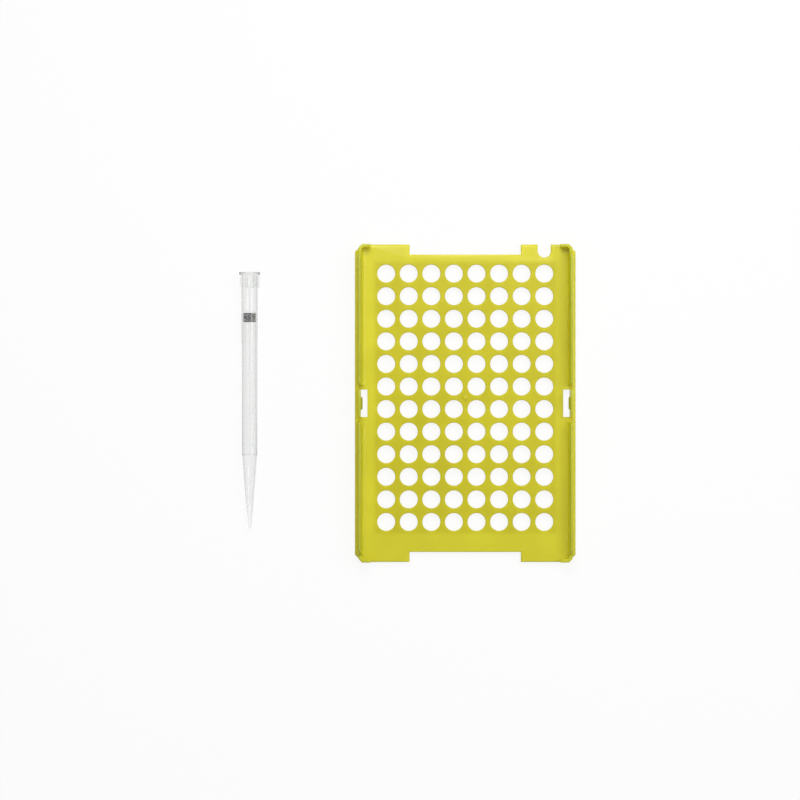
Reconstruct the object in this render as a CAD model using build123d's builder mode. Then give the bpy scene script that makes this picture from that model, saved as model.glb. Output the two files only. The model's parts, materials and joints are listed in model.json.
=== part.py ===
from build123d import *
import math
import os

# Rack tray for 96 pipette tips, with one filter tip lying beside it, in millimetres.
# Frame: origin in the middle of the hole field, on the plane that the tray rests on.
# +Z is up, and +Y runs toward the end with the orientation slot.

# ---- hole field
pitch = 9.0
columns = 8
rows = 12
hole_diameter = 7.15

# ---- deck plate
side_margin = 8.0  # deck beyond the hole field, on each long side
end_margin = 5.3  # and at each end, short of the tabs
deck_thickness = 2.0
field_offset = 2.2  # the holes sit this far off the deck's middle, toward the slot
tab_length = 4.0
notch_width = 44.3
corner_cut = 2.9
deck_edge_radius = 0.9

# ---- grid of ribs under the holes, which the tray stands on
rib_width = 1.0
rib_depth = 1.5
rib_spacing = 2 * pitch

# ---- orientation slot, one pitch beyond the first row of holes
slot_width = 5.2

# ---- long side walls
wall_height = 8.0
wall_thickness = 1.3
wall_draft = 0.3
wall_fillet = 1.6
wall_top_radius = 0.4
ledge_width = 1.5  # strip of deck outside each long wall
wall_end_slope = 2.2

# ---- low posts that wrap round the four corners
post_height = 4.5
post_reach = 3.0  # from the deck's end, along the long side
post_return = 3.3  # along the short side

# ---- snap tongue in the middle of each long wall
tongue_length = 10.9
tongue_thickness = 0.9
tongue_gap = 1.65  # slit on either side, so that the tongue can bend
tongue_gap_slope = 0.7
window_width = 2.6
hook_length = 5.3
hook_reach = 0.8
hook_height = 2.4
hook_land = 0.5
hook_end_chamfer = 0.6

# ---- mark left by the moulding gate
gate_radius = 1.1
gate_height = 0.35
gate_taper = 30

# ---- filter tip, with depths measured from the rim; it hangs in a hole by its fins
tip_length = 102.0
fin_overlap = 0.375  # how far the fins reach over a hole's edge
fin_count = 8
fin_thickness = 0.5
fin_phase = 12.6
rim_lip = 0.2  # how far the rim stands out past the fins
rim_height = 1.0
rim_draft = 0.05
collar_length = 6.2
barrel_clearance = 0.425  # between the barrel and a hole
barrel_wide_end = 25.0
barrel_neck_end = 28.0
barrel_neck_step = 0.08
barrel_end_wall = 0.51
mould_ring_height = 0.07
mould_ring_width = 0.5
cone_length = 29.2
cone_step = 0.08
point_ring_height = 8.1  # above the point
point_bore_radius = 0.33
point_wall = 0.25
socket_wall = 0.43
socket_flare = 0.18
socket_mouth_depth = 3.0

# ---- filter plug, pinched by two beads in the bore
filter_step = 0.18  # from the socket's radius down to the plug's
filter_length = 3.6
filter_depth = 16.25
filter_clearance = 0.01
filter_seat_margin = 0.6
bore_step = 0.1  # from the plug's seat down to the bore below it
bead_height = 0.12
bead_width = 0.5
bead_inset = 0.95
bead_spacing = 1.65

# ---- where the tip lies
tip_gap = 37.75  # between the tray and the tip's rim
tip_middle_y = -1.0

os.makedirs("parts", exist_ok=True)


# ------------------------------------------------------------------ rack tray
middle_y = -field_offset
field_width = columns * pitch
field_length = rows * pitch
deck_under = rib_depth
deck_top = deck_under + deck_thickness
wall_top = deck_top + wall_height
post_top = deck_top + post_height
half_width = field_width / 2 + side_margin
deck_half = field_length / 2 + end_margin
tab_half = deck_half + tab_length
wall_outer = half_width - ledge_width
wall_inner = wall_outer - wall_thickness
wall_end = tab_half - post_reach
tongue_half = tongue_length / 2
tongue_inner = wall_outer - tongue_thickness
gap_half = tongue_half + tongue_gap
root = deck_thickness / 2  # how far what stands on the deck reaches down into it

cross_plane = Plane(origin=(0, middle_y, 0), x_dir=(1, 0, 0), z_dir=(0, -1, 0))
side_plane = Plane(origin=(0, middle_y, 0), x_dir=(0, 1, 0), z_dir=(1, 0, 0))

# One long wall: its section is run along the deck, then cut to its side view,
# which leaves two lengths with sloping ends and a gap for the tongue between them.
with BuildPart() as long_wall:
    with BuildSketch(cross_plane) as wall_section:
        with BuildLine():
            Polyline(
                (wall_inner, deck_top + wall_fillet),
                (wall_inner + wall_draft, wall_top),
                (wall_outer, wall_top),
                (wall_outer, deck_top - root),
                (wall_inner - wall_fillet, deck_top - root),
                (wall_inner - wall_fillet, deck_top),
            )
            RadiusArc(
                (wall_inner - wall_fillet, deck_top),
                (wall_inner, deck_top + wall_fillet),
                -wall_fillet,
            )
        make_face()
        fillet(wall_section.vertices().group_by(Axis.Y)[-1], wall_top_radius)
    extrude(amount=wall_end, both=True)
    with BuildSketch(side_plane):
        with BuildLine():
            Polyline(
                (gap_half, deck_top - root),
                (gap_half, deck_top),
                (gap_half + tongue_gap_slope, wall_top),
                (wall_end - wall_end_slope, wall_top),
                (wall_end, post_top),
                (wall_end, deck_top - root),
                close=True,
            )
        make_face()
        mirror(about=Plane.YZ)
    extrude(amount=half_width, mode=Mode.INTERSECT)
    mirror(about=Plane.YZ)

# One corner post: a low strip that follows the outline round a cut corner.
cut_line = half_width + tab_half - corner_cut  # x + y along the cut corner's edge
cut_inner = cut_line - wall_thickness * math.sqrt(2)
post_end = half_width - corner_cut - post_return
tab_inner = tab_half - wall_thickness

with BuildPart() as corner_post:
    with BuildSketch(Plane.XY.offset(deck_top - root)):
        with Locations((0, middle_y)):
            Polygon(
                (wall_outer, wall_end),
                (wall_outer, cut_line - wall_outer),
                (cut_line - tab_half, tab_half),
                (post_end, tab_half),
                (post_end, tab_inner),
                (cut_inner - tab_inner, tab_inner),
                (wall_inner, cut_inner - wall_inner),
                (wall_inner, wall_end),
                align=None,
            )
    extrude(amount=root + post_height)
    mirror(about=Plane.YZ)
    mirror(about=cross_plane)

# One snap tongue: a thin strip that stands at the outer edge of its window,
# with a hook on its inner face that has a sloping lead-in and a flat catch below.
hook_bottom = wall_top - hook_height

with BuildPart() as snap_tongue:
    with BuildSketch(cross_plane):
        Polygon(
            (tongue_inner, deck_top - root),
            (tongue_inner, wall_top),
            (wall_outer, wall_top),
            (wall_outer, deck_top - root),
            align=None,
        )
    extrude(amount=tongue_half, both=True)
    with BuildSketch(cross_plane):
        Polygon(
            (wall_outer, hook_bottom),
            (tongue_inner - hook_reach, hook_bottom),
            (tongue_inner - hook_reach, hook_bottom + hook_land),
            (tongue_inner, wall_top),
            (wall_outer, wall_top),
            align=None,
        )
    extrude(amount=hook_length / 2, both=True)
    hook_ends = edges().filter_by(Axis.Z).group_by(Axis.X)[0]
    chamfer(hook_ends, hook_end_chamfer)
    mirror(about=Plane.YZ)

slot_x = field_width / 2 - pitch / 2
slot_y = field_length / 2 + pitch / 2

with BuildPart() as tray:
    # deck: corners cut, a wide notch in each end, and the orientation slot in one tab
    with BuildSketch(Plane.XY.offset(deck_under)) as deck_outline:
        with Locations((0, middle_y)):
            Rectangle(2 * half_width, 2 * tab_half)
        chamfer(deck_outline.vertices(), corner_cut)
        with Locations((0, middle_y + tab_half), (0, middle_y - tab_half)):
            Rectangle(notch_width, 2 * tab_length, mode=Mode.SUBTRACT)
        with Locations((slot_x, slot_y)):
            Circle(slot_width / 2, mode=Mode.SUBTRACT)
        with Locations((slot_x, slot_y + tab_half)):
            Rectangle(slot_width, 2 * tab_half, mode=Mode.SUBTRACT)
    extrude(amount=deck_thickness)
    deck_rim = faces().sort_by(Axis.Z)[-1].outer_wire().edges()
    fillet(deck_rim, deck_edge_radius)

    # ribs between the holes, in both directions
    with BuildSketch():
        with GridLocations(rib_spacing, rib_spacing, columns // 2 + 1, 1):
            Rectangle(rib_width, field_length + rib_width)
        with GridLocations(rib_spacing, rib_spacing, 1, rows // 2 + 1):
            Rectangle(field_width + rib_width, rib_width)
    extrude(amount=deck_under)

    # windows that let a mould core reach the underside of each hook
    with BuildSketch(Plane.XY.offset(deck_under)):
        with Locations((tongue_inner - window_width / 2, middle_y)):
            Rectangle(window_width, tongue_length)
        mirror(about=Plane.YZ)
    extrude(amount=deck_thickness, mode=Mode.SUBTRACT)

    add(long_wall.part)
    add(corner_post.part)
    add(snap_tongue.part)

    # tip holes
    with Locations(Plane.XY.offset(deck_top)):
        with GridLocations(pitch, pitch, columns, rows):
            Hole(radius=hole_diameter / 2, depth=deck_top)

    # gate mark in the middle of the hole field
    with BuildSketch(Plane.XY.offset(deck_top)):
        Circle(gate_radius)
    extrude(amount=gate_height, taper=gate_taper)

tray.part.label = "rack_tray"
export_step(tray.part, "parts/rack_tray.step")


# ----------------------------------------------------------------- filter tip
barrel_end = tip_length - cone_length
point_ring_depth = tip_length - point_ring_height
fin_radius = hole_diameter / 2 + fin_overlap
rim_radius = fin_radius + rim_lip
barrel_radius = hole_diameter / 2 - barrel_clearance
barrel_neck_radius = barrel_radius - barrel_neck_step
socket_radius = barrel_radius - socket_wall
socket_mouth_radius = socket_radius + socket_flare
filter_radius = socket_radius - filter_step
seat_radius = filter_radius + filter_clearance
bore_radius = seat_radius - bore_step
barrel_end_radius = bore_radius + barrel_end_wall
cone_top_radius = barrel_end_radius - cone_step
point_radius = point_bore_radius + point_wall

# The tip lies at rest on its rim and on the ring where its barrel ends, so its axis
# slopes a little and its point stays clear of the table.
tip_x = -(half_width + tip_gap + rim_radius)
ring_radius = barrel_end_radius + mould_ring_height
slope = math.atan((rim_radius - ring_radius) / barrel_end)
toward_point = (0, -math.cos(slope), -math.sin(slope))
above_tip = (0, -math.sin(slope), math.cos(slope))
rim_centre = (
    tip_x,
    tip_middle_y + tip_length / 2 * math.cos(slope),
    rim_radius * math.cos(slope),
)
# local x runs from the rim to the point, local y is the radius
tip_section = Plane(origin=rim_centre, x_dir=toward_point, z_dir=above_tip)
# local z runs from the rim to the point
rim_plane = Plane(origin=rim_centre, x_dir=(1, 0, 0), z_dir=toward_point)
tip_axis = Axis(rim_centre, toward_point)

fin_root = (socket_mouth_radius + barrel_radius) / 2
seat_start = filter_depth - filter_seat_margin
seat_end = filter_depth + filter_length + filter_seat_margin
first_bead = filter_depth + bead_inset
second_bead = first_bead + bead_spacing


def taper(start, start_radius, end, end_radius, at):
    """Radius at a depth on a straight taper between two depths."""
    return start_radius + (end_radius - start_radius) * (at - start) / (end - start)


def bead_points(depth, radius):
    """Profile of one bead across the bore, met from its deeper side."""
    return [
        (depth + bead_width / 2, radius),
        (depth, radius - bead_height),
        (depth - bead_width / 2, radius),
    ]


point_ring_radius = taper(barrel_end, cone_top_radius, tip_length, point_radius, point_ring_depth)

with BuildPart() as tip:
    with BuildSketch(tip_section):
        Polygon(
            (0, socket_mouth_radius),
            (0, rim_radius),
            (rim_height, rim_radius - rim_draft),
            (rim_height, barrel_radius),
            (barrel_wide_end, barrel_radius),
            (barrel_neck_end, barrel_neck_radius),
            (barrel_end - mould_ring_width, barrel_end_radius),
            (barrel_end - mould_ring_width / 2, ring_radius),
            (barrel_end, ring_radius),
            (barrel_end, cone_top_radius),
            (point_ring_depth, point_ring_radius + mould_ring_height),
            (point_ring_depth, point_ring_radius),
            (tip_length, point_radius),
            (tip_length, point_bore_radius),
            (barrel_end, bore_radius),
            (seat_end, bore_radius),
            (seat_end, seat_radius),
            *bead_points(second_bead, seat_radius),
            *bead_points(first_bead, seat_radius),
            (seat_start, seat_radius),
            (seat_start, socket_radius),
            (socket_mouth_depth, socket_radius),
            align=None,
        )
    revolve(axis=tip_axis)

    # fins of the collar, which stop the tip in its hole
    with BuildSketch(rim_plane.offset(rim_height)):
        with PolarLocations((fin_root + fin_radius) / 2, fin_count, start_angle=fin_phase):
            Rectangle(fin_radius - fin_root, fin_thickness)
    extrude(amount=collar_length - rim_height)

tip.part.label = "tip_body"
export_step(tip.part, "parts/tip_body.step")

with BuildPart() as filter_plug:
    with BuildSketch(tip_section):
        Polygon(
            (filter_depth, 0),
            (filter_depth, filter_radius),
            *reversed(bead_points(first_bead, filter_radius)),
            *reversed(bead_points(second_bead, filter_radius)),
            (filter_depth + filter_length, filter_radius),
            (filter_depth + filter_length, 0),
            align=None,
        )
    revolve(axis=tip_axis)

filter_plug.part.label = "filter_plug"
export_step(filter_plug.part, "parts/filter_plug.step")
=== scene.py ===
"""Rack tray for pipette tips, with one filter tip lying beside it."""

import json
import math

import bmesh
import bpy
from bpy.props import FloatProperty, FloatVectorProperty, IntProperty, PointerProperty
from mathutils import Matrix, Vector


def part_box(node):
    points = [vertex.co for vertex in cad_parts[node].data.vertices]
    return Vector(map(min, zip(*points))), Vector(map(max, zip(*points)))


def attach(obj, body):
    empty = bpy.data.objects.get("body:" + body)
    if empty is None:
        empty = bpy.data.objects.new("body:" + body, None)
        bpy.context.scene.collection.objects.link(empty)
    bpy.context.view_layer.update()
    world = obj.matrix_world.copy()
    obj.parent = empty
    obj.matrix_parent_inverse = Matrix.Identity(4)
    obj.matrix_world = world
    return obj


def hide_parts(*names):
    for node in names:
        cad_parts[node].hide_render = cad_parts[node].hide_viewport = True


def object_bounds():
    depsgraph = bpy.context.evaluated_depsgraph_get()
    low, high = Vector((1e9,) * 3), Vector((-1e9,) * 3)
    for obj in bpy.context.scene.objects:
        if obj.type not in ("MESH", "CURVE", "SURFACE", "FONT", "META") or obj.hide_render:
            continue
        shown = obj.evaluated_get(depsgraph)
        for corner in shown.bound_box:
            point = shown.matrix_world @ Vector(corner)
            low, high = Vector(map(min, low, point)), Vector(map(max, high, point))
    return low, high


bl_info = {
    "name": "Pipette tip rack tray",
    "version": (1, 0, 0),
    "blender": (4, 5, 0),
    "location": "3D View > Sidebar > Tip rack",
    "description": "Builds a moulded rack tray and a filter pipette tip",
    "category": "Add Mesh",
}

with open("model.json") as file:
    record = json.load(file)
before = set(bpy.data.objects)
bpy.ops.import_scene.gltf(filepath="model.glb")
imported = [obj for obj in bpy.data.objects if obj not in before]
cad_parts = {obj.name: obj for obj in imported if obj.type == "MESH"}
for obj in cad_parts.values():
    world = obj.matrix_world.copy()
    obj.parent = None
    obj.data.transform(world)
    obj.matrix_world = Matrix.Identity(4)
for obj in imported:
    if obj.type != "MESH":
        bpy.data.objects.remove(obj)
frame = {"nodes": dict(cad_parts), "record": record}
CAD_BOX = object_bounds()
TRAY_LOW, TRAY_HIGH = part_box("rack_tray")
TIP_LOW, TIP_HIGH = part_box("tip_body")

MM = 0.001
NEAR = 0.004 * MM  # coordinates closer than this are the same
SLIVER = 0.0004 * MM  # edges and faces thinner than this are dissolved
ALONG = 0.9  # least share of a face's normal that lies along an axis
SQUARE = 0.5  # normals whose product is below this meet at about a right angle


# ------------------------------------------------------------- sizes and colours
def length(name, description, millimetres):
    """A length that a user can change, given here in millimetres."""
    return FloatProperty(
        name=name,
        description=description,
        default=millimetres * MM,
        min=0.0,
        precision=5,
        unit="LENGTH",
        subtype="DISTANCE",
    )


def colour(name, description, red, green, blue):
    """A plain colour that a user can change."""
    return FloatVectorProperty(
        name=name,
        description=description,
        default=(red, green, blue, 1.0),
        size=4,
        min=0.0,
        max=1.0,
        subtype="COLOR",
    )


class TraySizes(bpy.types.PropertyGroup):
    """Sizes of the rack tray."""

    pitch: length("Pitch", "Distance from one hole to the next", 9.0)
    columns: IntProperty(name="Columns", description="Holes across the tray", default=8)
    rows: IntProperty(name="Rows", description="Holes along the tray", default=12)
    hole_diameter: length("Hole diameter", "Width of each tip hole", 7.15)
    lead_in: length("Lead-in", "Chamfer round the top of each hole", 0.22)
    field_offset: length("Field offset", "Hole field's shift toward the slot end", 2.2)
    deck_thickness: length("Deck thickness", "Thickness of the perforated deck", 2.0)
    edge_radius: length("Edge radius", "Rounding of the deck's outer top edge", 0.9)
    corner_cut: length("Corner cut", "Width of the cut at each corner", 2.9)
    tab_length: length("Tab length", "How far the end tabs stand out", 4.0)
    notch_width: length("Notch width", "Width of the notch between the tabs", 44.3)
    slot_width: length("Slot width", "Width of the orientation slot", 5.2)
    rib_depth: length("Rib depth", "Height of the ribs under the deck", 1.5)
    rib_width: length("Rib width", "Thickness of the ribs under the deck", 1.0)
    wall_height: length("Wall height", "Height of the long walls over the deck", 8.0)
    wall_thickness: length("Wall thickness", "Thickness of the walls and posts", 1.3)
    wall_fillet: length("Wall fillet", "Rounding at the foot of the long walls", 1.6)
    ledge_width: length("Ledge width", "Strip of deck outside each long wall", 1.5)
    post_height: length("Post height", "Height of the corner posts over the deck", 4.5)
    tongue_length: length("Tongue length", "Length of the snap tongues", 10.9)
    tongue_thickness: length("Tongue thickness", "Thickness of the snap tongues", 0.9)
    tongue_gap: length("Tongue gap", "Slit on either side of a tongue", 1.65)
    window_width: length("Window width", "Width of the window under each hook", 2.6)
    hook_length: length("Hook length", "Length of the hook on a tongue", 5.3)
    hook_reach: length("Hook reach", "How far a hook stands in from its tongue", 0.8)
    hook_height: length("Hook height", "Height of a hook", 2.4)


class TipSizes(bpy.types.PropertyGroup):
    """Sizes of the filter tip. Depths are measured from the rim."""

    length: length("Length", "From the rim to the point", 102.0)
    rim_radius: length("Rim radius", "Outer radius of the rim", 4.15)
    collar_length: length("Collar length", "Depth that the fins reach", 6.2)
    fins: IntProperty(name="Fins", description="Fins round the collar", default=8)
    fin_radius: length("Fin radius", "Outer radius of the fins", 3.95)
    barrel_radius: length("Barrel radius", "Outer radius of the barrel", 3.15)
    barrel_end: length("Barrel end", "Depth at which the cone begins", 72.8)
    socket_radius: length("Socket radius", "Bore above the filter", 2.72)
    seat_radius: length("Seat radius", "Bore round the filter", 2.55)
    bore_radius: length("Bore radius", "Bore below the filter", 2.45)
    filter_radius: length("Filter radius", "Radius of the porous plug", 2.54)
    filter_length: length("Filter length", "Length of the porous plug", 3.6)
    filter_depth: length("Filter depth", "Depth of the plug's upper face", 16.25)


class Finishes(bpy.types.PropertyGroup):
    """Colours of the two plastics and the filter, with painted shade for the lime hole field and
    walls and for the tip's edges.
    """

    margin_colour: colour("Margin", "Lime plastic where the tray is thin", 0.715, 0.67, 0.022)
    # Painted shade: a darker copy of the lime colour for the hole field. It stands in for the light
    # that passes less through the ribbed, holed field than through the thin margins.
    field_shade_colour: colour("Hole field", "Lime plastic over the ribs", 0.63, 0.575, 0.009)
    # Painted shade: a darker copy of the lime colour that comes in with height up the walls, posts
    # and tongues. It stands in for the light that does not pass up through them.
    wall_shade_colour: colour("Walls", "Lime plastic where it is seen edgewise", 0.47, 0.487, 0.024)
    tip_colour: colour("Tip", "Clear plastic of the tip", 0.97, 0.975, 0.97)
    # Painted shade: near black, mixed into the clear plastic where it is seen edgewise. It stands
    # in for the dark edges a real clear tip gets from its surroundings.
    tip_edge_shade: colour("Tip edge", "Clear plastic seen along its surface", 0.03, 0.03, 0.03)
    filter_colour: colour("Filter", "Porous grey plug", 0.15, 0.15, 0.15)
    filter_light: colour("Filter light", "Paler grains of the plug", 0.22, 0.22, 0.22)
    floor_colour: colour("Floor", "Pale floor", 0.95, 0.95, 0.95)


# ---------------------------------------------------------------- modelling by hand
def start():
    """Goes to object mode with nothing selected."""
    if bpy.context.object and bpy.context.object.mode != "OBJECT":
        bpy.ops.object.mode_set(mode="OBJECT")
    bpy.ops.object.select_all(action="DESELECT")


def take(piece):
    """Selects one piece alone and makes it the active one."""
    start()
    piece.select_set(True)
    bpy.context.view_layer.objects.active = piece


def edit(piece):
    """Opens one piece in edit mode."""
    take(piece)
    bpy.ops.object.mode_set(mode="EDIT")


def settle(name):
    """Names the active piece and puts its place, turn and size into its mesh."""
    if bpy.context.object.mode != "OBJECT":
        bpy.ops.object.mode_set(mode="OBJECT")
    piece = bpy.context.object
    bpy.ops.object.transform_apply(location=True, rotation=True, scale=True)
    piece.name = name
    piece.data.name = name
    return piece


def block(name, low, high):
    """A box between two corners, as a start for shaping."""
    start()
    middle = [(a + b) / 2 for a, b in zip(low, high)]
    bpy.ops.mesh.primitive_cube_add(size=1, location=middle)
    bpy.context.object.scale = [b - a for a, b in zip(low, high)]
    return settle(name)


def pick(kind, test):
    """Selects only the vertices, edges or faces that pass a test."""
    mesh = bmesh.from_edit_mesh(bpy.context.object.data)
    bpy.ops.mesh.select_mode(type={"verts": "VERT", "edges": "EDGE", "faces": "FACE"}[kind])
    bpy.ops.mesh.select_all(action="DESELECT")
    mesh.normal_update()
    chosen = [item for item in getattr(mesh, kind) if test(item)]
    for item in chosen:
        item.select_set(True)
    mesh.select_flush_mode()
    bmesh.update_edit_mesh(bpy.context.object.data)


def at(value, target):
    """Whether two coordinates are the same."""
    return abs(value - target) < NEAR


def edge_at(axis, target):
    """Test for edges that lie wholly at one coordinate."""
    return lambda edge: all(at(v.co[axis], target) for v in edge.verts)


def is_upright(edge):
    """Whether an edge runs straight up."""
    first, second = (v.co for v in edge.verts)
    return at(first.x, second.x) and at(first.y, second.y)


def is_corner(edge):
    """Whether an edge is where two faces meet at about a right angle."""
    normals = [face.normal for face in edge.link_faces]
    return len(normals) == 2 and abs(normals[0].dot(normals[1])) < SQUARE


def move(offset):
    """Moves what is selected."""
    bpy.ops.transform.translate(value=offset)


def slice_at(axis, value):
    """Adds a loop of edges where a plane crosses the piece."""
    bpy.ops.mesh.select_all(action="SELECT")
    point = [0.0, 0.0, 0.0]
    normal = [0.0, 0.0, 0.0]
    point[axis] = value
    normal[axis] = 1.0
    bpy.ops.mesh.bisect(plane_co=point, plane_no=normal)


def combine(piece, others, operation):
    """Joins other solids to a piece at once, or cuts them out, and uses them up."""
    group = bpy.data.collections.new("others")
    for other in others:
        group.objects.link(other)
    take(piece)
    bpy.ops.object.modifier_add(type="BOOLEAN")
    step = piece.modifiers[-1]
    step.operation = operation
    step.operand_type = "COLLECTION"
    step.collection = group
    step.solver = "EXACT"
    bpy.ops.object.modifier_apply(modifier=step.name)
    for other in others:
        bpy.data.objects.remove(other)
    bpy.data.collections.remove(group)


def repeat(piece, count, offset):
    """Copies a piece in a row."""
    take(piece)
    bpy.ops.object.modifier_add(type="ARRAY")
    step = piece.modifiers[-1]
    step.count = count
    step.use_relative_offset = False
    step.use_constant_offset = True
    step.constant_offset_displace = offset
    step.use_merge_vertices = False
    bpy.ops.object.modifier_apply(modifier=step.name)


def reflect(piece, across_x, across_y):
    """Adds the mirror image of a piece across the tray's middle."""
    take(piece)
    bpy.ops.object.modifier_add(type="MIRROR")
    step = piece.modifiers[-1]
    step.use_axis = (across_x, across_y, False)
    step.use_mirror_merge = False
    bpy.ops.object.modifier_apply(modifier=step.name)


def smooth(piece, degrees):
    """Shades a piece smooth, apart from its sharp edges."""
    take(piece)
    bpy.ops.object.shade_smooth_by_angle(angle=math.radians(degrees))


def clean(piece):
    """Closes up the slivers that joining and cutting solids leave in a piece."""
    edit(piece)
    bpy.ops.mesh.select_all(action="SELECT")
    bpy.ops.mesh.remove_doubles(threshold=NEAR)
    bpy.ops.mesh.dissolve_degenerate(threshold=SLIVER)
    bpy.ops.object.mode_set(mode="OBJECT")


def finish_piece(piece, material, node):
    """Gives a finished piece its material, and lets it stand for its CAD node."""
    piece.data.materials.clear()
    piece.data.materials.append(material)
    for place in frame["nodes"][node].material_slots:
        place.link = "OBJECT"
        place.material = material
    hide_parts(node)
    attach(piece, "root")


def lathe(name, profile, steps):
    """A turned piece about the Z axis, from radii and depths.

    The profile is a closed one, or begins and ends on the axis.
    """
    start()
    bpy.ops.mesh.primitive_plane_add(size=MM)
    bpy.ops.object.mode_set(mode="EDIT")
    bpy.ops.mesh.select_mode(type="VERT")
    bpy.ops.mesh.merge(type="CENTER")
    first = Vector((profile[0][0], 0.0, profile[0][1]))
    move(first)
    here = first
    for radius, depth in profile[1:]:
        there = Vector((radius, 0.0, depth))
        bpy.ops.mesh.extrude_vertices_move(TRANSFORM_OT_translate={"value": there - here})
        here = there
    ends_on_axis = profile[0][0] < NEAR and profile[-1][0] < NEAR
    if not ends_on_axis:
        ends = [first, here]
        pick("verts", lambda v: any((v.co - end).length < NEAR for end in ends))
        bpy.ops.mesh.edge_face_add()
    bpy.ops.mesh.select_all(action="SELECT")
    bpy.ops.mesh.spin(steps=steps, angle=math.tau, center=(0, 0, 0), axis=(0, 0, 1))
    bpy.ops.mesh.select_all(action="SELECT")
    bpy.ops.mesh.remove_doubles(threshold=NEAR)
    bpy.ops.mesh.normals_make_consistent(inside=False)
    return settle(name)


# --------------------------------------------------------------------- rack tray
POST_REACH = 3.0 * MM
POST_RETURN = 3.3 * MM
WALL_END_SLOPE = 2.2 * MM
GAP_SLOPE = 0.7 * MM
WALL_DRAFT = 0.3 * MM
WALL_TOP_RADIUS = 0.4 * MM
POST_TOP_RADIUS = 0.3 * MM
THIN_EDGE = 0.15 * MM
RIM_STEPS = 5
FOOT_STEPS = 7
TOP_STEPS = 3
THIN_STEPS = 2
HOOK_LAND = 0.5 * MM
HOOK_CHAMFER = 0.6 * MM
GATE_RADIUS = 1.1 * MM
GATE_FLARE = 0.2
GATE_HEIGHT = 0.35 * MM
GATE_SIDES = 32
SLOT_SIDES = 48
HOLE_SIDES = 40
TRAY_SHARP_ANGLE = 38
OVERLAP = 0.3 * MM  # how far one solid runs into the next before they are joined
HAIR = 0.02 * MM  # keeps two faces from lying in one plane
BEYOND = 1.0 * MM  # how far a cutter runs out past what it cuts
FADE = 1.2 * MM  # half the width of the change from field to margin colour


class TrayPlan:
    """Heights and half widths worked out from the tray's driving sizes.

    The tray is modelled about its own middle and moved to its place at the end.
    """

    def __init__(self, sizes):
        self.under = TRAY_LOW.z + sizes.rib_depth
        self.top = self.under + sizes.deck_thickness
        self.wall_top = self.top + sizes.wall_height
        self.post_top = self.top + sizes.post_height
        self.root = sizes.deck_thickness / 2
        self.half_width = (TRAY_HIGH.x - TRAY_LOW.x) / 2
        self.tab_half = (TRAY_HIGH.y - TRAY_LOW.y) / 2
        self.deck_half = self.tab_half - sizes.tab_length
        self.middle_y = (TRAY_HIGH.y + TRAY_LOW.y) / 2
        self.wall_outer = self.half_width - sizes.ledge_width
        self.wall_inner = self.wall_outer - sizes.wall_thickness
        self.wall_end = self.tab_half - POST_REACH
        self.tongue_half = sizes.tongue_length / 2
        self.tongue_inner = self.wall_outer - sizes.tongue_thickness
        self.gap_half = self.tongue_half + sizes.tongue_gap
        self.field_width = sizes.columns * sizes.pitch
        self.field_length = sizes.rows * sizes.pitch


def deck_plate(sizes, plan):
    """Deck with its cut corners, end notches, orientation slot and rounded rim."""
    deck = block(
        "deck",
        (-plan.half_width, -plan.tab_half, plan.under),
        (plan.half_width, plan.tab_half, plan.top),
    )
    edit(deck)
    pick("edges", is_upright)
    bpy.ops.mesh.bevel(offset=sizes.corner_cut, segments=1, affect="EDGES")
    notch = block(
        "notch",
        (-sizes.notch_width / 2, plan.deck_half, plan.under - BEYOND),
        (sizes.notch_width / 2, plan.tab_half + BEYOND, plan.top + BEYOND),
    )
    reflect(notch, False, True)
    combine(deck, [notch, slot_cutter(sizes, plan)], "DIFFERENCE")
    edit(deck)
    pick("edges", edge_at(2, plan.top))
    bpy.ops.mesh.bevel(offset=sizes.edge_radius, segments=RIM_STEPS, affect="EDGES")
    bpy.ops.object.mode_set(mode="OBJECT")
    window = block(
        "window",
        (plan.tongue_inner - sizes.window_width, -plan.tongue_half, plan.under - BEYOND),
        (plan.tongue_inner - HAIR, plan.tongue_half, plan.top + BEYOND),
    )
    reflect(window, True, False)
    combine(deck, [window], "DIFFERENCE")
    return deck


def slot_cutter(sizes, plan):
    """Upright cutter with a round inner end, which runs out past the tab."""
    x = plan.field_width / 2 - sizes.pitch / 2
    y = plan.field_length / 2 + sizes.pitch / 2 + sizes.field_offset
    start()
    bpy.ops.mesh.primitive_cylinder_add(
        vertices=SLOT_SIDES,
        radius=sizes.slot_width / 2,
        depth=sizes.deck_thickness + 2 * BEYOND,
        location=(x, y, (plan.under + plan.top) / 2),
    )
    cutter = settle("slot")
    edit(cutter)
    pick("verts", lambda v: v.co.y > y - NEAR)
    bpy.ops.mesh.extrude_region_move(TRANSFORM_OT_translate={"value": (0, 0, 0)})
    move((0, plan.tab_half + BEYOND - y, 0))
    bpy.ops.object.mode_set(mode="OBJECT")
    return cutter


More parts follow.
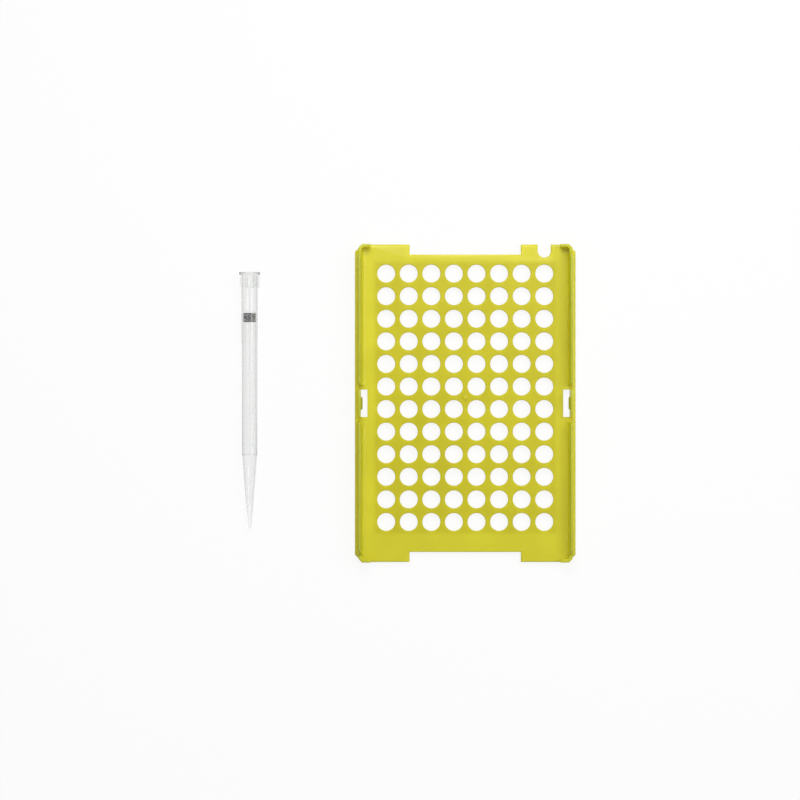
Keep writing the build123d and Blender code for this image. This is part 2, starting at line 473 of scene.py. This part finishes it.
def long_walls(sizes, plan):
    """Four lengths of side wall, with sloping ends and a rounded inner foot."""
    walls = block(
        "walls",
        (plan.wall_inner, plan.gap_half, plan.top - plan.root),
        (plan.wall_outer, plan.wall_end, plan.wall_top),
    )
    edit(walls)
    slice_at(2, plan.top)
    slice_at(2, plan.post_top)
    pick("faces", lambda f: f.normal.x < -ALONG and f.calc_center_median().z < plan.top)
    foot = sizes.wall_fillet + OVERLAP
    bpy.ops.mesh.extrude_region_move(TRANSFORM_OT_translate={"value": (-foot, 0, 0)})
    for height, lean in (
        (plan.post_top, GAP_SLOPE * sizes.post_height / sizes.wall_height),
        (plan.wall_top, GAP_SLOPE),
    ):
        pick("verts", lambda v: at(v.co.z, height) and at(v.co.y, plan.gap_half))
        move((0, lean, 0))
    pick("verts", lambda v: at(v.co.z, plan.wall_top) and at(v.co.y, plan.wall_end))
    move((0, -WALL_END_SLOPE, 0))
    for height, lean in (
        (plan.post_top, WALL_DRAFT * sizes.post_height / sizes.wall_height),
        (plan.wall_top, WALL_DRAFT),
    ):
        pick("verts", lambda v: at(v.co.z, height) and at(v.co.x, plan.wall_inner))
        move((lean, 0, 0))
    pick("edges", lambda e: edge_at(2, plan.top)(e) and edge_at(0, plan.wall_inner)(e))
    bpy.ops.mesh.bevel(offset=sizes.wall_fillet, segments=FOOT_STEPS, affect="EDGES")
    pick("edges", edge_at(2, plan.wall_top))
    bpy.ops.mesh.bevel(offset=WALL_TOP_RADIUS, segments=TOP_STEPS, affect="EDGES")
    bpy.ops.object.mode_set(mode="OBJECT")
    reflect(walls, True, True)
    return walls


def corner_posts(sizes, plan):
    """Four low posts: a ring inset from the outline, kept only at its corners."""
    end = plan.tab_half - HAIR
    cut = plan.half_width + end - sizes.corner_cut - plan.wall_outer
    start()
    bpy.ops.mesh.primitive_plane_add(size=1, location=(0, 0, plan.top - plan.root))
    bpy.context.object.scale = (2 * (plan.wall_outer - HAIR), 2 * end, 1)
    posts = settle("posts")
    edit(posts)
    bpy.ops.mesh.select_all(action="SELECT")
    bpy.ops.mesh.bevel(offset=end - cut, segments=1, affect="VERTICES")
    bpy.ops.mesh.select_all(action="SELECT")
    bpy.ops.mesh.inset(thickness=sizes.wall_thickness, depth=0)
    bpy.ops.mesh.delete(type="FACE")
    keep = (plan.half_width - sizes.corner_cut - POST_RETURN, plan.wall_end - OVERLAP)
    for side in (1, -1):
        slice_at(0, side * keep[0])
        slice_at(1, side * keep[1])
    pick("faces", lambda f: any(abs(f.calc_center_median()[i]) < keep[i] for i in (0, 1)))
    bpy.ops.mesh.delete(type="FACE")
    bpy.ops.mesh.select_all(action="SELECT")
    height = plan.root + sizes.post_height
    bpy.ops.mesh.extrude_region_move(TRANSFORM_OT_translate={"value": (0, 0, height)})
    bpy.ops.mesh.select_all(action="SELECT")
    bpy.ops.mesh.normals_make_consistent(inside=False)
    pick("edges", lambda e: edge_at(2, plan.post_top)(e) and is_corner(e))
    bpy.ops.mesh.bevel(offset=POST_TOP_RADIUS, segments=TOP_STEPS, affect="EDGES")
    bpy.ops.object.mode_set(mode="OBJECT")
    return posts


def snap_tongues(sizes, plan):
    """Two thin tongues, each with a hook that has a sloping lead-in."""
    tongue = block(
        "tongue",
        (plan.tongue_inner, -plan.tongue_half, plan.top - plan.root),
        (plan.wall_outer, plan.tongue_half, plan.wall_top),
    )
    edit(tongue)
    pick("edges", edge_at(2, plan.wall_top))
    bpy.ops.mesh.bevel(offset=THIN_EDGE, segments=THIN_STEPS, affect="EDGES")
    bottom = plan.wall_top - sizes.hook_height
    tip_x = plan.tongue_inner - sizes.hook_reach
    hook = block(
        "hook",
        (tip_x, -sizes.hook_length / 2, bottom),
        (plan.tongue_inner + OVERLAP, sizes.hook_length / 2, plan.wall_top - THIN_EDGE),
    )
    edit(hook)
    slice_at(2, bottom + HOOK_LAND)
    pick("verts", lambda v: at(v.co.x, tip_x) and v.co.z > bottom + HOOK_LAND + NEAR)
    move((sizes.hook_reach + THIN_EDGE, 0, 0))
    pick(
        "edges",
        lambda e: at(e.verts[0].co.y, e.verts[1].co.y)
        and any(at(v.co.x, tip_x) for v in e.verts)
        and not at(e.verts[0].co.z, e.verts[1].co.z),
    )
    bpy.ops.mesh.bevel(offset=HOOK_CHAMFER, segments=THIN_STEPS, affect="EDGES")
    bpy.ops.object.mode_set(mode="OBJECT")
    combine(tongue, [hook], "UNION")
    reflect(tongue, True, False)
    return tongue


def rib_grid(sizes, plan):
    """Ribs between every second pair of hole rows, left when the cells are cut out."""
    spacing = 2 * sizes.pitch
    across, along = sizes.columns // 2, sizes.rows // 2
    middle = sizes.field_offset
    half_x = (plan.field_width + sizes.rib_width) / 2
    half_y = (plan.field_length + sizes.rib_width) / 2
    ribs = block(
        "ribs",
        (-half_x, middle - half_y, TRAY_LOW.z),
        (half_x, middle + half_y, plan.under + OVERLAP),
    )
    corner_x = -plan.field_width / 2 + sizes.rib_width / 2
    corner_y = middle - plan.field_length / 2 + sizes.rib_width / 2
    cell = block(
        "cell",
        (corner_x, corner_y, TRAY_LOW.z - BEYOND),
        (corner_x + spacing - sizes.rib_width, corner_y + spacing - sizes.rib_width, plan.top),
    )
    repeat(cell, across, (spacing, 0, 0))
    repeat(cell, along, (0, spacing, 0))
    combine(ribs, [cell], "DIFFERENCE")
    return ribs


def gate_mark(sizes, plan):
    """Small raised mark where the plastic entered the mould."""
    start()
    bpy.ops.mesh.primitive_cone_add(
        vertices=GATE_SIDES,
        radius1=GATE_RADIUS * (1 + GATE_FLARE),
        radius2=GATE_RADIUS * (1 - GATE_FLARE),
        depth=2 * GATE_HEIGHT,
        location=(0, sizes.field_offset, plan.top),
    )
    gate = settle("gate")
    edit(gate)
    pick("edges", edge_at(2, plan.top + GATE_HEIGHT))
    bpy.ops.mesh.bevel(offset=THIN_EDGE, segments=THIN_STEPS, affect="EDGES")
    bpy.ops.object.mode_set(mode="OBJECT")
    return gate


def hole_cutters(sizes, plan):
    """A cutter for every tip hole, flared at the deck's upper face."""
    radius = sizes.hole_diameter / 2
    x = -(sizes.columns - 1) / 2 * sizes.pitch
    y = -(sizes.rows - 1) / 2 * sizes.pitch + sizes.field_offset
    low, high = TRAY_LOW.z - BEYOND, plan.top - sizes.lead_in
    start()
    bpy.ops.mesh.primitive_cylinder_add(
        vertices=HOLE_SIDES, radius=radius, depth=high - low, location=(x, y, (low + high) / 2)
    )
    cutter = settle("holes")
    edit(cutter)
    flare = (radius + sizes.lead_in) / radius
    pick("faces", lambda f: f.normal.z > ALONG)
    bpy.ops.mesh.extrude_region_move(TRANSFORM_OT_translate={"value": (0, 0, sizes.lead_in)})
    bpy.ops.transform.resize(value=(flare, flare, 1), center_override=(x, y, plan.top))
    bpy.ops.mesh.extrude_region_move(TRANSFORM_OT_translate={"value": (0, 0, BEYOND)})
    bpy.ops.object.mode_set(mode="OBJECT")
    repeat(cutter, sizes.columns, (sizes.pitch, 0, 0))
    repeat(cutter, sizes.rows, (0, sizes.pitch, 0))
    return cutter


class RACK_OT_tray(bpy.types.Operator):
    """Build the moulded rack tray"""

    bl_idname = "tip_rack.tray"
    bl_label = "Build the rack tray"

    def execute(self, context):
        sizes = context.scene.tray_sizes
        plan = TrayPlan(sizes)
        tray = deck_plate(sizes, plan)
        combine(tray, [rib_grid(sizes, plan)], "UNION")
        combine(tray, [hole_cutters(sizes, plan)], "DIFFERENCE")
        uprights = (long_walls, corner_posts, snap_tongues, gate_mark)
        combine(tray, [make(sizes, plan) for make in uprights], "UNION")
        take(tray)
        tray.location.y = plan.middle_y
        tray = settle("tray_moulding")
        clean(tray)
        smooth(tray, TRAY_SHARP_ANGLE)
        plastic = lime_plastic(context.scene.finishes, plan)
        finish_piece(tray, plastic, "rack_tray")
        return {"FINISHED"}


# -------------------------------------------------------------------- filter tip
RIM_HEIGHT = 1.0 * MM
RIM_EDGE = 0.15 * MM
RIM_DRAFT = 0.05 * MM
MOUTH_RADIUS = 2.9 * MM
MOUTH_DEPTH = 3.0 * MM
FIN_THICKNESS = 0.5 * MM
FIN_ROOT = 0.1 * MM
FIN_PHASE = 12.6
NECK_START = 25.0 * MM
NECK_END = 28.0 * MM
NECK_RADIUS = 3.07 * MM
BARREL_END_RADIUS = 2.96 * MM
CONE_RADIUS = 2.88 * MM
RING_HEIGHT = 0.07 * MM
RING_WIDTH = 0.5 * MM
POINT_RING = 93.9 * MM
POINT_RADIUS = 0.58 * MM
POINT_BORE = 0.33 * MM
SEAT_MARGIN = 0.6 * MM
BEAD_HEIGHT = 0.12 * MM
BEAD_WIDTH = 0.5 * MM
BEAD_INSET = 0.95 * MM
BEAD_SPACING = 1.65 * MM
PLUG_EDGE = 0.15 * MM
FIN_STEPS = 3
TURNS = 72
TIP_SHARP_ANGLE = 32


def lay_down(piece, sizes):
    """Lays a piece modelled upright, rim at the origin, where the tip rests."""
    socket = next(m for m in frame["record"]["mounts"] if m["name"] == "tip_socket")
    slope = math.atan2(socket["axis"][2], socket["axis"][1])
    take(piece)
    piece.rotation_euler = (math.pi / 2 + slope, 0, 0)
    piece.location = (
        (TIP_LOW.x + TIP_HIGH.x) / 2,
        TIP_HIGH.y - sizes.rim_radius * math.sin(slope),
        sizes.rim_radius * math.cos(slope),
    )
    return settle(piece.name)


def bead_depths(sizes):
    """Depths of the two beads that pinch the filter."""
    first = sizes.filter_depth + BEAD_INSET
    return first, first + BEAD_SPACING


def bead(depth, radius, deeper_first):
    """Profile of one bead that narrows the bore."""
    half = BEAD_WIDTH / 2
    points = [
        (radius, depth + half),
        (radius - BEAD_HEIGHT, depth + half / 2),
        (radius - BEAD_HEIGHT, depth - half / 2),
        (radius, depth - half),
    ]
    return points if deeper_first else points[::-1]


def tip_profile(sizes):
    """Closed profile of the tip, down its outside and back up its bore."""
    first_bead, second_bead = bead_depths(sizes)
    seat_start = sizes.filter_depth - SEAT_MARGIN
    seat_end = sizes.filter_depth + sizes.filter_length + SEAT_MARGIN
    share = (POINT_RING - sizes.barrel_end) / (sizes.length - sizes.barrel_end)
    ring_radius = CONE_RADIUS + (POINT_RADIUS - CONE_RADIUS) * share
    return [
        (MOUTH_RADIUS + RIM_EDGE, 0),
        (sizes.rim_radius - RIM_EDGE, 0),
        (sizes.rim_radius, RIM_EDGE),
        (sizes.rim_radius - RIM_DRAFT, RIM_HEIGHT - RIM_EDGE),
        (sizes.rim_radius - RIM_EDGE, RIM_HEIGHT),
        (sizes.barrel_radius, RIM_HEIGHT),
        (sizes.barrel_radius, sizes.collar_length),
        (sizes.barrel_radius, NECK_START),
        (NECK_RADIUS, NECK_END),
        (BARREL_END_RADIUS, sizes.barrel_end - RING_WIDTH),
        (BARREL_END_RADIUS + RING_HEIGHT, sizes.barrel_end - RING_WIDTH / 2),
        (BARREL_END_RADIUS + RING_HEIGHT, sizes.barrel_end),
        (CONE_RADIUS, sizes.barrel_end + RING_HEIGHT),
        (ring_radius + RING_HEIGHT, POINT_RING),
        (ring_radius, POINT_RING + RING_HEIGHT),
        (POINT_RADIUS, sizes.length),
        (POINT_BORE, sizes.length),
        (sizes.bore_radius, sizes.barrel_end),
        (sizes.bore_radius, seat_end),
        (sizes.seat_radius, seat_end),
        *bead(second_bead, sizes.seat_radius, True),
        *bead(first_bead, sizes.seat_radius, True),
        (sizes.seat_radius, seat_start),
        (sizes.socket_radius, seat_start),
        (sizes.socket_radius, MOUTH_DEPTH),
        (MOUTH_RADIUS, RIM_EDGE),
    ]


def plug_profile(sizes):
    """Half outline of the plug, with a groove for each bead."""
    radius = sizes.filter_radius
    top = sizes.filter_depth
    end = top + sizes.filter_length
    first_groove, second_groove = bead_depths(sizes)
    return [
        (0, top),
        (radius - PLUG_EDGE, top),
        (radius, top + PLUG_EDGE),
        *bead(first_groove, radius, False),
        *bead(second_groove, radius, False),
        (radius, end - PLUG_EDGE),
        (radius - PLUG_EDGE, end),
        (0, end),
    ]


def turn_about_axis(degrees):
    """Turns what is selected about the Z axis, anticlockwise from above."""
    angle = -math.radians(degrees)
    bpy.ops.transform.rotate(value=angle, orient_axis="Z", center_override=(0, 0, 0))


def collar_fins(sizes):
    """Fins that run down from the rim, evenly round the collar."""
    root = MOUTH_RADIUS + FIN_ROOT
    fin = block(
        "fin",
        (root, -FIN_THICKNESS / 2, RIM_HEIGHT - RIM_EDGE),
        (sizes.fin_radius, FIN_THICKNESS / 2, sizes.collar_length),
    )
    edit(fin)
    pick("edges", lambda e: edge_at(2, sizes.collar_length)(e) and edge_at(0, sizes.fin_radius)(e))
    bpy.ops.mesh.bevel(offset=FIN_THICKNESS / 2, segments=FIN_STEPS, affect="EDGES")
    bpy.ops.mesh.select_all(action="SELECT")
    turn_about_axis(FIN_PHASE)
    for _ in range(sizes.fins - 1):
        bpy.ops.mesh.duplicate()
        turn_about_axis(360 / sizes.fins)
    bpy.ops.object.mode_set(mode="OBJECT")
    return fin


class RACK_OT_tip(bpy.types.Operator):
    """Build the clear tip with its finned collar"""

    bl_idname = "tip_rack.tip"
    bl_label = "Build the tip"

    def execute(self, context):
        sizes = context.scene.tip_sizes
        tip = lathe("tip", tip_profile(sizes), TURNS)
        combine(tip, [collar_fins(sizes)], "UNION")
        tip.name = "tip_moulding"
        tip = lay_down(tip, sizes)
        clean(tip)
        smooth(tip, TIP_SHARP_ANGLE)
        finish_piece(tip, clear_plastic(context.scene.finishes), "tip_body")
        return {"FINISHED"}


class RACK_OT_filter(bpy.types.Operator):
    """Build the porous plug that the tip's beads pinch"""

    bl_idname = "tip_rack.filter"
    bl_label = "Build the filter"

    def execute(self, context):
        sizes = context.scene.tip_sizes
        plug = lathe("filter", plug_profile(sizes), TURNS)
        plug = lay_down(plug, sizes)
        plug.name = "filter_sinter"
        smooth(plug, TIP_SHARP_ANGLE)
        sinter = sintered_plastic(context.scene.finishes)
        finish_piece(plug, sinter, "filter_plug")
        return {"FINISHED"}


# --------------------------------------------------------------------- materials
# A noise is given as its scale, detail and roughness, a bump as its strength and height.
NOISE_SPAN = (0.3, 0.7)
LIME_LOOK = {
    "IOR": 1.49,
    "Specular IOR Level": 0.35,
    "Subsurface Weight": 0.8,
    "Subsurface Radius": (1.0, 1.0, 0.14),
    "Subsurface Scale": 2.5 * MM,
}
LIME_ROUGHNESS = (0.28, 0.34)
LIME_CLOUDS = (0.96, 1.04)
LIME_CLOUD_NOISE = (70.0, 3.0, 0.5)
LIME_GRAIN_NOISE = (4500.0, 2.0, 0.5)
LIME_GRAIN_BUMP = (0.12, 0.02 * MM)
CLEAR_LOOK = {"IOR": 1.3, "Transmission Weight": 1.0}
CLEAR_ROUGHNESS = (0.02, 0.07)
# Layer Weight facing span over which the painted edge shade comes in.
CLEAR_GRAZING = (0.45, 1.0)
CLEAR_FLOW_NOISE = (180.0, 2.0, 0.5)
CLEAR_GRAIN_NOISE = (900.0, 2.0, 0.5)
CLEAR_GRAIN_BUMP = (0.05, 0.02 * MM)
CLEAR_HAZE = {"Color": (0.5, 0.505, 0.5, 1.0), "Density": 175.0}
FILTER_ROUGHNESS = (0.75, 0.95)
FILTER_GRAIN_NOISE = (3500.0, 4.0, 0.7)
FILTER_GRAIN_BUMP = (0.6, 0.06 * MM)
FLOOR_LOOK = {"Roughness": 0.9, "Specular IOR Level": 0.1}
FLOOR_GLOW = 0.90
SKY_STRENGTH = 0.30
SKY_SEEN = 0.94
MIX_COLOURS = (6, 7)  # the Mix node's two colour inputs
MIX_RESULT = 2  # and its colour output


def new_material(name):
    """A material with its nodes cleared but for a surface shader and the output."""
    material = bpy.data.materials.new(name)
    material.use_nodes = True
    nodes, links = material.node_tree.nodes, material.node_tree.links
    nodes.clear()
    output = nodes.new("ShaderNodeOutputMaterial")
    shader = nodes.new("ShaderNodeBsdfPrincipled")
    links.new(shader.outputs["BSDF"], output.inputs["Surface"])
    return material, nodes, links, shader


def set_inputs(node, values):
    """Sets plain values on a node's own sockets."""
    for name, value in values.items():
        node.inputs[name].default_value = value


def rescale(nodes, links, source, before, after, interpolation="LINEAR"):
    """Carries a number from one range over to another."""
    scale = nodes.new("ShaderNodeMapRange")
    scale.interpolation_type = interpolation
    set_inputs(scale, {"From Min": before[0], "From Max": before[1]})
    set_inputs(scale, {"To Min": after[0], "To Max": after[1]})
    links.new(source, scale.inputs["Value"])
    return scale.outputs["Result"]


def noise(nodes, links, kind):
    """Noise fixed to the piece itself."""
    scale, detail, roughness = kind
    place = nodes.new("ShaderNodeTexCoord")
    texture = nodes.new("ShaderNodeTexNoise")
    set_inputs(texture, {"Scale": scale, "Detail": detail, "Roughness": roughness})
    links.new(place.outputs["Object"], texture.inputs["Vector"])
    return texture.outputs["Fac"]


def spread(nodes, links, source, after):
    """Carries a noise value over to a range of numbers."""
    return rescale(nodes, links, source, NOISE_SPAN, after)


def bump(nodes, links, source, kind, shader):
    """Raises the surface a little by a noise value."""
    strength, distance = kind
    rise = nodes.new("ShaderNodeBump")
    set_inputs(rise, {"Strength": strength, "Distance": distance})
    links.new(source, rise.inputs["Height"])
    links.new(rise.outputs["Normal"], shader.inputs["Normal"])


def step_along(nodes, links, axis, mirrored, start_at, end_at):
    """A number that rises smoothly from 0 to 1 between two places along an axis."""
    place = nodes.new("ShaderNodeTexCoord")
    parts = nodes.new("ShaderNodeSeparateXYZ")
    links.new(place.outputs["Object"], parts.inputs["Vector"])
    source = parts.outputs[axis]
    if mirrored:
        size = nodes.new("ShaderNodeMath")
        size.operation = "ABSOLUTE"
        links.new(source, size.inputs[0])
        source = size.outputs["Value"]
    return rescale(nodes, links, source, (start_at, end_at), (0.0, 1.0), "SMOOTHSTEP")


def larger(nodes, links, first, second):
    """The larger of two numbers."""
    most = nodes.new("ShaderNodeMath")
    most.operation = "MAXIMUM"
    links.new(first, most.inputs[0])
    links.new(second, most.inputs[1])
    return most.outputs["Value"]


def blend(nodes, links, share, first, second):
    """Goes from a first colour to a second one as a share rises from 0 to 1."""
    mix = nodes.new("ShaderNodeMix")
    mix.data_type = "RGBA"
    links.new(share, mix.inputs["Factor"])
    for number, value in zip(MIX_COLOURS, (first, second)):
        if isinstance(value, bpy.types.NodeSocket):
            links.new(value, mix.inputs[number])
        else:
            mix.inputs[number].default_value = value
    return mix.outputs[MIX_RESULT]


def where_seen(nodes, links, unseen, seen):
    """One number where a ray is looked along, mirrored or seen through, another elsewhere."""
    path = nodes.new("ShaderNodeLightPath")
    looked = larger(nodes, links, path.outputs["Is Camera Ray"], path.outputs["Is Glossy Ray"])
    looked = larger(nodes, links, looked, path.outputs["Is Transmission Ray"])
    return rescale(nodes, links, looked, (0.0, 1.0), (unseen, seen))


def lime_plastic(finishes, plan):
    """Satin lime plastic, light in the margins, with painted shade that deepens it over the ribbed
    hole field and in the walls.
    """
    material, nodes, links, shader = new_material("lime_plastic")
    # Painted shade: the hole field gets the darker field colour, which fades into the margin colour
    # across FADE at the field's edge.
    half_x, half_y = plan.field_width / 2, plan.field_length / 2
    outside_x = step_along(nodes, links, "X", True, half_x - FADE, half_x + FADE)
    outside_y = step_along(nodes, links, "Y", True, half_y - FADE, half_y + FADE)
    # Painted shade that deepens with height, from the deck's top to the walls' top.
    upright = step_along(nodes, links, "Z", False, plan.top, plan.wall_top)
    margin = larger(nodes, links, outside_x, outside_y)
    deck = blend(nodes, links, margin, finishes.field_shade_colour, finishes.margin_colour)
    lime = blend(nodes, links, upright, deck, finishes.wall_shade_colour)
    # Random cloudy tone of the plastic itself, not light. The node below is named shade but only
    # varies the tone.
    cloud = noise(nodes, links, LIME_CLOUD_NOISE)
    shade = nodes.new("ShaderNodeHueSaturation")
    links.new(spread(nodes, links, cloud, LIME_CLOUDS), shade.inputs["Value"])
    links.new(lime, shade.inputs["Color"])
    links.new(shade.outputs["Color"], shader.inputs["Base Color"])
    links.new(spread(nodes, links, cloud, LIME_ROUGHNESS), shader.inputs["Roughness"])
    grain = noise(nodes, links, LIME_GRAIN_NOISE)
    bump(nodes, links, grain, LIME_GRAIN_BUMP, shader)
    set_inputs(shader, LIME_LOOK)
    return material


def clear_plastic(finishes):
    """Clear plastic, a touch milky, with painted shade that darkens it where it is looked along or
    edgewise.
    """
    material, nodes, links, shader = new_material("clear_plastic")
    # Painted shade at the edges: the tip colour goes over to the near-black edge colour as the
    # surface turns edgewise to the ray.
    facing = nodes.new("ShaderNodeLayerWeight").outputs["Facing"]
    share = rescale(nodes, links, facing, CLEAR_GRAZING, (0.0, 1.0), "SMOOTHSTEP")
    tint = blend(nodes, links, share, finishes.tip_colour, finishes.tip_edge_shade)
    links.new(tint, shader.inputs["Base Color"])
    flow = noise(nodes, links, CLEAR_FLOW_NOISE)
    links.new(spread(nodes, links, flow, CLEAR_ROUGHNESS), shader.inputs["Roughness"])
    grain = noise(nodes, links, CLEAR_GRAIN_NOISE)
    bump(nodes, links, grain, CLEAR_GRAIN_BUMP, shader)
    set_inputs(shader, CLEAR_LOOK)
    haze = nodes.new("ShaderNodeVolumeAbsorption")
    set_inputs(haze, CLEAR_HAZE)
    links.new(haze.outputs["Volume"], nodes["Material Output"].inputs["Volume"])
    return material


def sintered_plastic(finishes):
    """Porous grey plug, pressed from fine grains."""
    material, nodes, links, shader = new_material("sintered_plastic")
    grain = noise(nodes, links, FILTER_GRAIN_NOISE)
    share = spread(nodes, links, grain, (0.0, 1.0))
    tint = blend(nodes, links, share, finishes.filter_colour, finishes.filter_light)
    links.new(tint, shader.inputs["Base Color"])
    links.new(spread(nodes, links, grain, FILTER_ROUGHNESS), shader.inputs["Roughness"])
    bump(nodes, links, grain, FILTER_GRAIN_BUMP, shader)
    return material


def floor_finish(floor_colour):
    """Pale floor, white to the eye, that keeps a soft shadow."""
    material, nodes, links, shader = new_material("pale_floor")
    set_inputs(shader, {"Base Color": floor_colour, **FLOOR_LOOK})
    glow = nodes.new("ShaderNodeEmission")
    mix = nodes.new("ShaderNodeMixShader")
    links.new(where_seen(nodes, links, 0.0, FLOOR_GLOW), mix.inputs["Fac"])
    links.new(shader.outputs["BSDF"], mix.inputs[1])
    links.new(glow.outputs["Emission"], mix.inputs[2])
    links.new(mix.outputs["Shader"], nodes["Material Output"].inputs["Surface"])
    return material


def studio_world():
    """A plain sky that lights softly, and is white where it is seen."""
    world = bpy.data.worlds.new("studio")
    world.use_nodes = True
    nodes, links = world.node_tree.nodes, world.node_tree.links
    sky = nodes["Background"]
    sky.inputs["Color"].default_value = (1, 1, 1, 1)
    links.new(where_seen(nodes, links, SKY_STRENGTH, SKY_SEEN), sky.inputs["Strength"])
    return world


# ------------------------------------------------------------------------- stage
# Lamps and their places are in metres from the object's middle, the camera's place from the origin.
FLOOR_SIZE = 6.0
KEY_PLACE = Vector((0.0, 0.30, 0.49))
KEY_SIZE = 0.24
KEY_WATTS = 1.60
SIDE_PLACE = Vector((0.30, 0.10, 0.48))
SIDE_SIZE = 0.26
SIDE_WATTS = 0.87
FILL_PLACE = Vector((0.08, -0.32, 0.50))
FILL_SIZE = 0.3
FILL_WATTS = 0.12
CAMERA_PLACE = Vector((-26.0 * MM, -0.9 * MM, 1.2))
VIEW_WIDTH = 319.6 * MM
SENSOR_WIDTH = 36.0
CLIP_START = 0.01


def add_lamp(name, place, aim, size, watts):
    """A square soft lamp that points at a place."""
    start()
    bpy.ops.object.light_add(type="AREA", location=place)
    lamp = bpy.context.object
    lamp.name = name
    lamp.data.shape = "SQUARE"
    lamp.data.size = size
    lamp.data.energy = watts
    lamp.rotation_euler = (aim - place).to_track_quat("-Z", "Y").to_euler()


class RACK_OT_stage(bpy.types.Operator):
    """Set up the floor, the lamps and the camera"""

    bl_idname = "tip_rack.stage"
    bl_label = "Set up the stage"

    def execute(self, context):
        start()
        bpy.ops.mesh.primitive_plane_add(size=FLOOR_SIZE)
        floor = settle("floor")
        floor.data.materials.append(floor_finish(context.scene.finishes.floor_colour))

        middle = (CAD_BOX[0] + CAD_BOX[1]) / 2
        add_lamp("key", middle + KEY_PLACE, middle, KEY_SIZE, KEY_WATTS)
        add_lamp("side", middle + SIDE_PLACE, middle, SIDE_SIZE, SIDE_WATTS)
        add_lamp("fill", middle + FILL_PLACE, middle, FILL_SIZE, FILL_WATTS)
        context.scene.world = studio_world()

        bpy.ops.object.camera_add(location=CAMERA_PLACE, rotation=(0, 0, 0))
        camera = context.object
        camera.name = "camera"
        camera.data.sensor_width = SENSOR_WIDTH
        camera.data.lens = SENSOR_WIDTH * CAMERA_PLACE.z / VIEW_WIDTH
        camera.data.clip_start = CLIP_START
        context.scene.camera = camera
        context.scene.view_settings.view_transform = "Standard"
        return {"FINISHED"}


# ------------------------------------------------------------------------- panel
class RACK_PT_panel(bpy.types.Panel):
    """Buttons and sizes in the sidebar"""

    bl_idname = "RACK_PT_panel"
    bl_label = "Tip rack"
    bl_space_type = "VIEW_3D"
    bl_region_type = "UI"
    bl_category = "Tip rack"

    def draw(self, context):
        layout = self.layout
        for group in ("tray_sizes", "tip_sizes", "finishes"):
            box = layout.box()
            values = getattr(context.scene, group)
            for name in values.__annotations__:
                box.prop(values, name)
        for operator in OPERATORS:
            layout.operator(operator.bl_idname)


OPERATORS = (RACK_OT_tray, RACK_OT_tip, RACK_OT_filter, RACK_OT_stage)
CLASSES = (TraySizes, TipSizes, Finishes, *OPERATORS, RACK_PT_panel)


def register():
    """Adds the classes and their settings to the scene."""
    for cls in CLASSES:
        bpy.utils.register_class(cls)
    bpy.types.Scene.tray_sizes = PointerProperty(type=TraySizes)
    bpy.types.Scene.tip_sizes = PointerProperty(type=TipSizes)
    bpy.types.Scene.finishes = PointerProperty(type=Finishes)


def unregister():
    """Takes them away again."""
    del bpy.types.Scene.tray_sizes
    del bpy.types.Scene.tip_sizes
    del bpy.types.Scene.finishes
    for cls in reversed(CLASSES):
        bpy.utils.unregister_class(cls)


def main():
    """Builds the tray, the tip, the filter and the stage."""
    register()
    bpy.ops.tip_rack.tray()
    bpy.ops.tip_rack.tip()
    bpy.ops.tip_rack.filter()
    bpy.ops.tip_rack.stage()
    bpy.context.view_layer.update()


if __name__ == "__main__":
    main()
